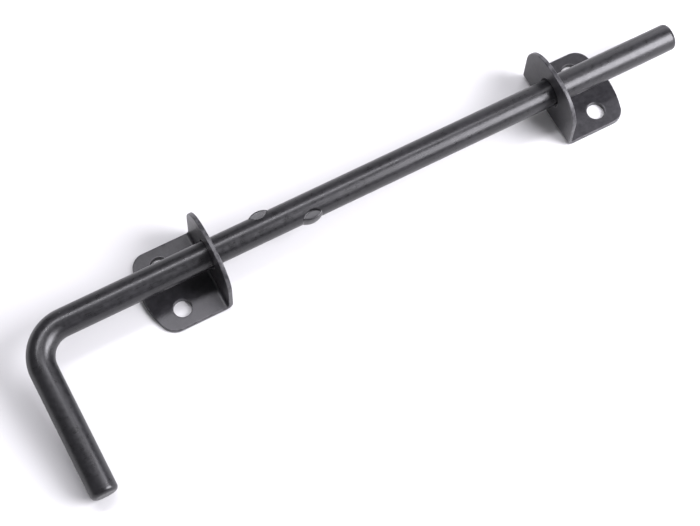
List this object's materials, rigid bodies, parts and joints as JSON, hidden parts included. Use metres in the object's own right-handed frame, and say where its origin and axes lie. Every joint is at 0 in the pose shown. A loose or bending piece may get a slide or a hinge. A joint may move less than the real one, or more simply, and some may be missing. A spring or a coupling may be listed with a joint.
{
  "type": "gate drop bolt",
  "caption": "Gate drop bolt: a round steel bar, bent into a handle and pinched into stop ears, slides and turns in matching pressed L brackets with screw holes.",
  "frame": {"origin": "middle of the handle bracket's two screw holes, on the mounting plane that both bases lie on", "axes": "+X along the bar from the handle to the tip, which is down on a mounted gate; +Z out of the mounting plane; at rest the handle points to -Y"},
  "size_m": [0.3314, 0.0958, 0.0337],
  "materials": {
    "bar_coat": "satin black coating on a round steel bar, with fine scuffs",
    "bracket_coat": "satin black coating on pressed sheet steel, a little duller than the bar"
  },
  "bodies": {
    "brackets": {"handle_bracket": "bracket_coat", "tip_bracket": "bracket_coat"},
    "sliding_nose": {"drop_nose": "bar_coat"},
    "turning_bar": {"handle_bar": "bar_coat"}
  },
  "joints": [
    {"name": "bar_slide", "type": "slide", "parent": "brackets", "child": "sliding_nose", "axis": [1, 0, 0], "range_m": [-0.021, 0.069]},
    {"name": "bar_turn", "type": "hinge", "parent": "sliding_nose", "child": "turning_bar", "pos_m": [0.1981, 0, 0.018], "axis": [-1, 0, 0], "range_deg": [0, 197.2]}
  ]
}
